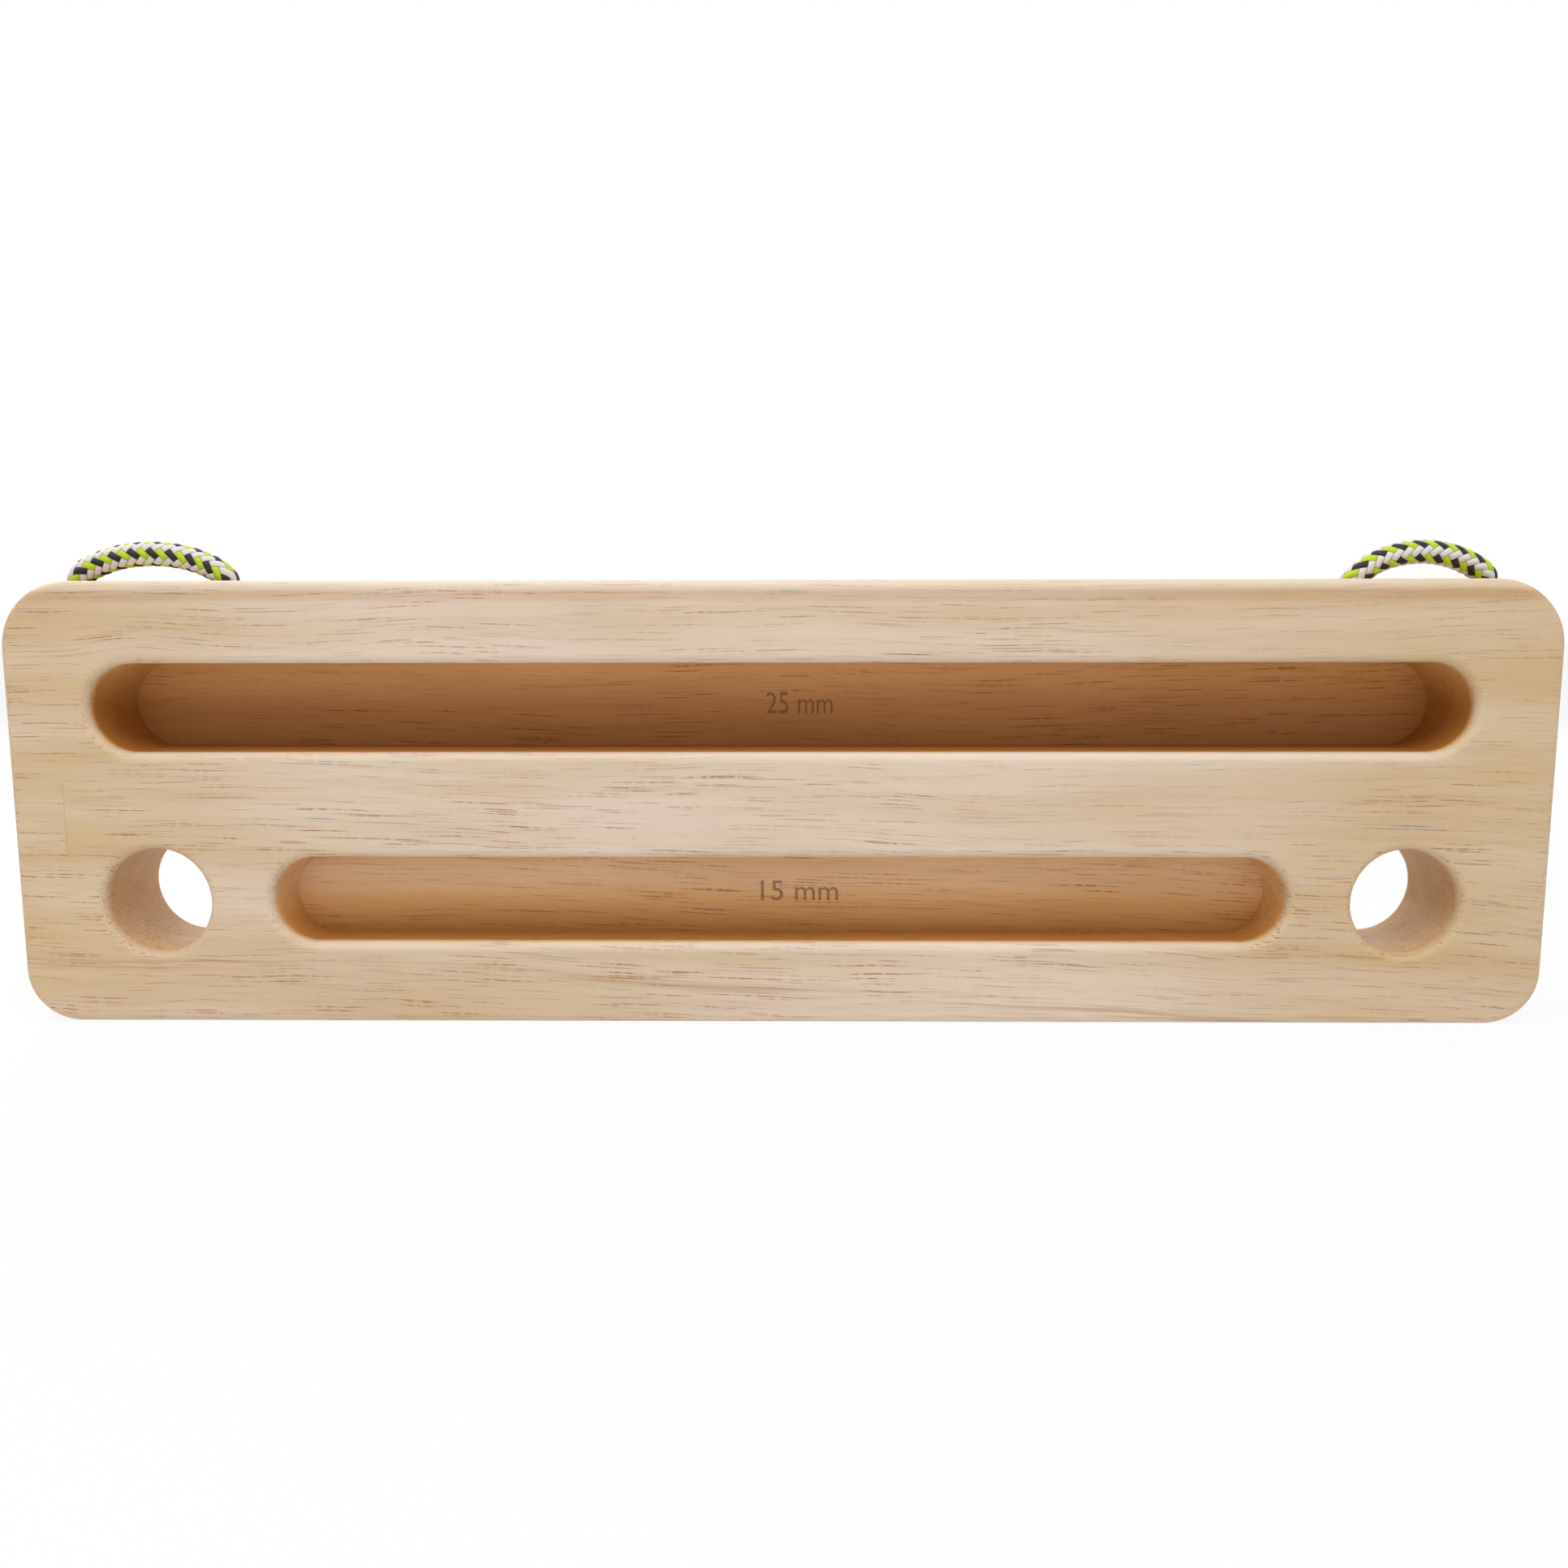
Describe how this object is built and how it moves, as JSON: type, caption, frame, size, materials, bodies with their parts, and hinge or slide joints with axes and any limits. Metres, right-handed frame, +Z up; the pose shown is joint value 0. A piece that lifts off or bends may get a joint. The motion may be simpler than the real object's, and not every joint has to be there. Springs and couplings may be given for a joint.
{
  "type": "portable hangboard",
  "caption": "Wooden climbing hangboard with long finger slots and round grip holes at the lower corners, hung from knotted cord loops.",
  "frame": {"origin": "under the middle of the board, on the surface that it stands on", "axes": "+Z up; +X along the board's length; the front face with the finger slots looks along -Y"},
  "size_m": [0.46, 0.0575, 0.1455],
  "materials": {
    "rubberwood": "pale rubberwood, finely sanded and unvarnished, with brown pores along the grain",
    "braided_cord": "braided nylon sheath in black, neon yellow and light grey"
  },
  "bodies": {
    "board": {"board": "rubberwood", "left_outer_cord_leg": "braided_cord", "left_inner_cord_leg": "braided_cord", "left_outer_knot": "braided_cord", "left_inner_knot": "braided_cord", "right_outer_cord_leg": "braided_cord", "right_inner_cord_leg": "braided_cord", "right_outer_knot": "braided_cord", "right_inner_knot": "braided_cord"},
    "left_loop": {"left_cord_arch": "braided_cord"},
    "right_loop": {"right_cord_arch": "braided_cord"}
  },
  "joints": [
    {"name": "left_loop_lean", "type": "hinge", "parent": "board", "child": "left_loop", "pos_m": [-0.19075, -0.0014, 0.1352], "axis": [1, 0, 0], "range_deg": [-45, 45], "stiffness_Nm_per_rad": 0.01},
    {"name": "right_loop_lean", "type": "hinge", "parent": "board", "child": "right_loop", "pos_m": [0.193, -0.0014, 0.1352], "axis": [1, 0, 0], "range_deg": [-45, 45], "stiffness_Nm_per_rad": 0.01}
  ]
}
